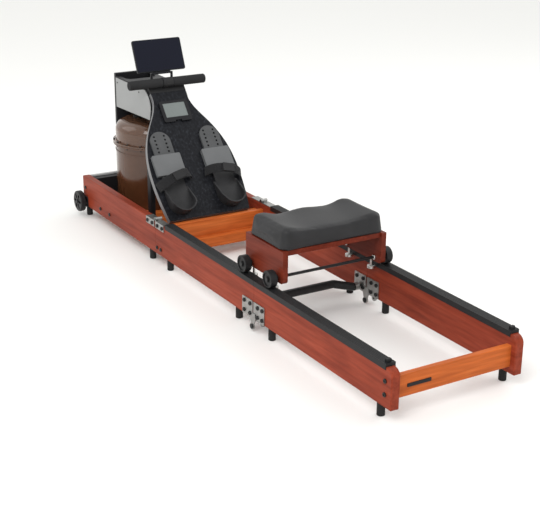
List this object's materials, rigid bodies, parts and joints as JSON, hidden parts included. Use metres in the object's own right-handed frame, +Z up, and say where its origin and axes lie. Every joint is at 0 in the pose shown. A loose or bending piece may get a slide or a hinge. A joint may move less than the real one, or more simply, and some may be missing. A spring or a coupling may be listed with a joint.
{
  "type": "rowing machine",
  "caption": "Folding water rowing machine: wooden side rails in three hinged sections, upright paddle tank, sloping foot board, pull handle and sliding seat on wheels.",
  "frame": {"origin": "on the floor, under the middle of the whole machine", "axes": "+X runs along the rails from the water tank to the rear end, +Z up, +Y across the machine"},
  "size_m": [2.134, 0.542, 0.7296],
  "materials": {
    "rail_wood": "satin reddish cherry wood",
    "cross_wood": "satin orange cherry wood",
    "black_wood": "black-stained wood grain",
    "black_board": "fine black powder coat",
    "grey_plastic": "light grey moulding",
    "dark_plastic": "dark grey moulding",
    "black_plastic": "black moulding",
    "track_plastic": "black ribbed extrusion",
    "gloss_black": "gloss black",
    "screen": "grey-green liquid-crystal panel",
    "display_glass": "near-black navy glass",
    "tank_shell": "smoky brown clear plastic",
    "rubber": "black rubber",
    "foam": "black foam grip",
    "webbing": "black webbing",
    "steel": "brushed steel",
    "hinge_steel": "brushed steel hinge leaf",
    "black_bolt": "black oxide",
    "black_steel": "black powder coat",
    "paddle": "dark moulded paddles",
    "pad": "black moulded foam",
    "wheel_plastic": "black moulded wheel",
    "seat_wheel": "black running wheel"
  },
  "bodies": {
    "frame": {"front_rails": "rail_wood", "front_beam": "black_board", "front_cap": "grey_plastic", "tank_platform": "cross_wood", "front_post": "black_board", "housing_sides": "grey_plastic", "housing_deck": "black_plastic", "board_supports": "black_steel", "front_cross": "cross_wood", "foot_board": "black_wood", "handle_rest": "black_plastic", "console_bezel": "gloss_black", "console_screen": "screen", "foot_clamps": "grey_plastic", "foot_straps": "webbing", "strap_buckles": "black_plastic", "tank_lower": "tank_shell", "tank_gasket": "rubber", "tank_upper": "tank_shell", "fill_plug": "black_plastic", "tank_bolts": "black_bolt", "shaft_bearings": "black_plastic", "recoil_case": "black_plastic", "deck_brackets": "black_steel", "wheel_brackets": "black_steel", "front_feet": "rubber", "front_leaves": "hinge_steel", "front_bolts": "black_bolt"},
    "impeller": {"impeller": "paddle"},
    "strap_drum": {"strap_drum": "dark_plastic"},
    "guide_roller": {"guide_roller": "steel"},
    "handle": {"handle_bar": "black_steel", "handle_grips": "foam", "pull_strap": "webbing"},
    "display": {"display": "display_glass"},
    "heel_slider_left": {"heel_slider_left": "dark_plastic"},
    "heel_slider_right": {"heel_slider_right": "dark_plastic"},
    "transport_wheel_left": {"transport_wheel_left": "wheel_plastic"},
    "transport_wheel_right": {"transport_wheel_right": "wheel_plastic"},
    "mid_section": {"mid_rails": "rail_wood", "mid_tracks": "track_plastic", "mid_cross": "cross_wood", "mid_leaves": "hinge_steel", "mid_bolts": "black_bolt", "hinge_pins": "black_bolt", "mid_feet": "rubber"},
    "lock_bar": {"lock_bar": "black_steel"},
    "rear_section": {"rear_rails": "rail_wood", "rear_tracks": "track_plastic", "rear_cross": "cross_wood", "rear_leaves": "hinge_steel", "rear_bolts": "black_bolt", "rear_feet": "rubber"},
    "seat": {"seat_sides": "rail_wood", "seat_base": "rail_wood", "seat_pad": "pad", "seat_axles": "black_steel", "seat_guides": "steel"},
    "seat_wheels_front": {"seat_wheels_front": "seat_wheel"},
    "seat_wheels_rear": {"seat_wheels_rear": "seat_wheel"}
  },
  "joints": [
    {"name": "impeller_spin", "type": "hinge", "parent": "frame", "child": "impeller", "pos_m": [-0.853, 0, 0.2], "axis": [0, 0, 1], "continuous": true},
    {"name": "handle_pull", "type": "slide", "parent": "frame", "child": "handle", "axis": [1, 0, 0], "range_m": [0, 1.1], "stiffness_N_per_m": 30, "springref_m": -0.4},
    {"name": "drum_spin", "type": "hinge", "parent": "frame", "child": "strap_drum", "pos_m": [-0.853, 0, 0.476], "axis": [0, 0, 1], "continuous": true},
    {"name": "roller_spin", "type": "hinge", "parent": "frame", "child": "guide_roller", "pos_m": [-0.765, 0, 0.5679], "axis": [0, 1, 0], "continuous": true},
    {"name": "display_tilt", "type": "hinge", "parent": "frame", "child": "display", "pos_m": [-0.771, 0, 0.604], "axis": [0, 1, 0], "range_deg": [-15, 15]},
    {"name": "heel_slide_left", "type": "slide", "parent": "frame", "child": "heel_slider_left", "axis": [-0.6428, 0, 0.766], "range_m": [-0.012, 0.044]},
    {"name": "heel_slide_right", "type": "slide", "parent": "frame", "child": "heel_slider_right", "axis": [-0.6428, 0, 0.766], "range_m": [-0.012, 0.044]},
    {"name": "transport_wheel_left_spin", "type": "hinge", "parent": "frame", "child": "transport_wheel_left", "pos_m": [-1.025, -0.256, 0.06], "axis": [0, 1, 0], "continuous": true},
    {"name": "transport_wheel_right_spin", "type": "hinge", "parent": "frame", "child": "transport_wheel_right", "pos_m": [-1.025, 0.256, 0.06], "axis": [0, 1, 0], "continuous": true},
    {"name": "mid_fold", "type": "hinge", "parent": "frame", "child": "mid_section", "pos_m": [-0.368, 0, 0.17], "axis": [0, -1, 0], "range_deg": [0, 90]},
    {"name": "rear_fold", "type": "hinge", "parent": "mid_section", "child": "rear_section", "pos_m": [0.337, 0, 0.018], "axis": [0, 1, 0], "range_deg": [0, 180]},
    {"name": "lock_bar_lift", "type": "hinge", "parent": "mid_section", "child": "lock_bar", "pos_m": [0.3005, 0, 0.058], "axis": [0, 1, 0], "range_deg": [0, 40]},
    {"name": "seat_slide", "type": "slide", "parent": "rear_section", "child": "seat", "axis": [1, 0, 0], "range_m": [-0.46, 0.58]},
    {"name": "front_axle_roll", "type": "hinge", "parent": "seat", "child": "seat_wheels_front", "pos_m": [0.252, 0, 0.2003], "axis": [0, 1, 0], "continuous": true},
    {"name": "rear_axle_roll", "type": "hinge", "parent": "seat", "child": "seat_wheels_rear", "pos_m": [0.41, 0, 0.2003], "axis": [0, 1, 0], "continuous": true}
  ],
  "couplings": [
    {"joint": "drum_spin", "follows": "handle_pull", "rad_per_m": 26.316},
    {"joint": "roller_spin", "follows": "handle_pull", "rad_per_m": 125},
    {"joint": "front_axle_roll", "follows": "seat_slide", "rad_per_m": 35.714},
    {"joint": "rear_axle_roll", "follows": "seat_slide", "rad_per_m": 35.714}
  ]
}
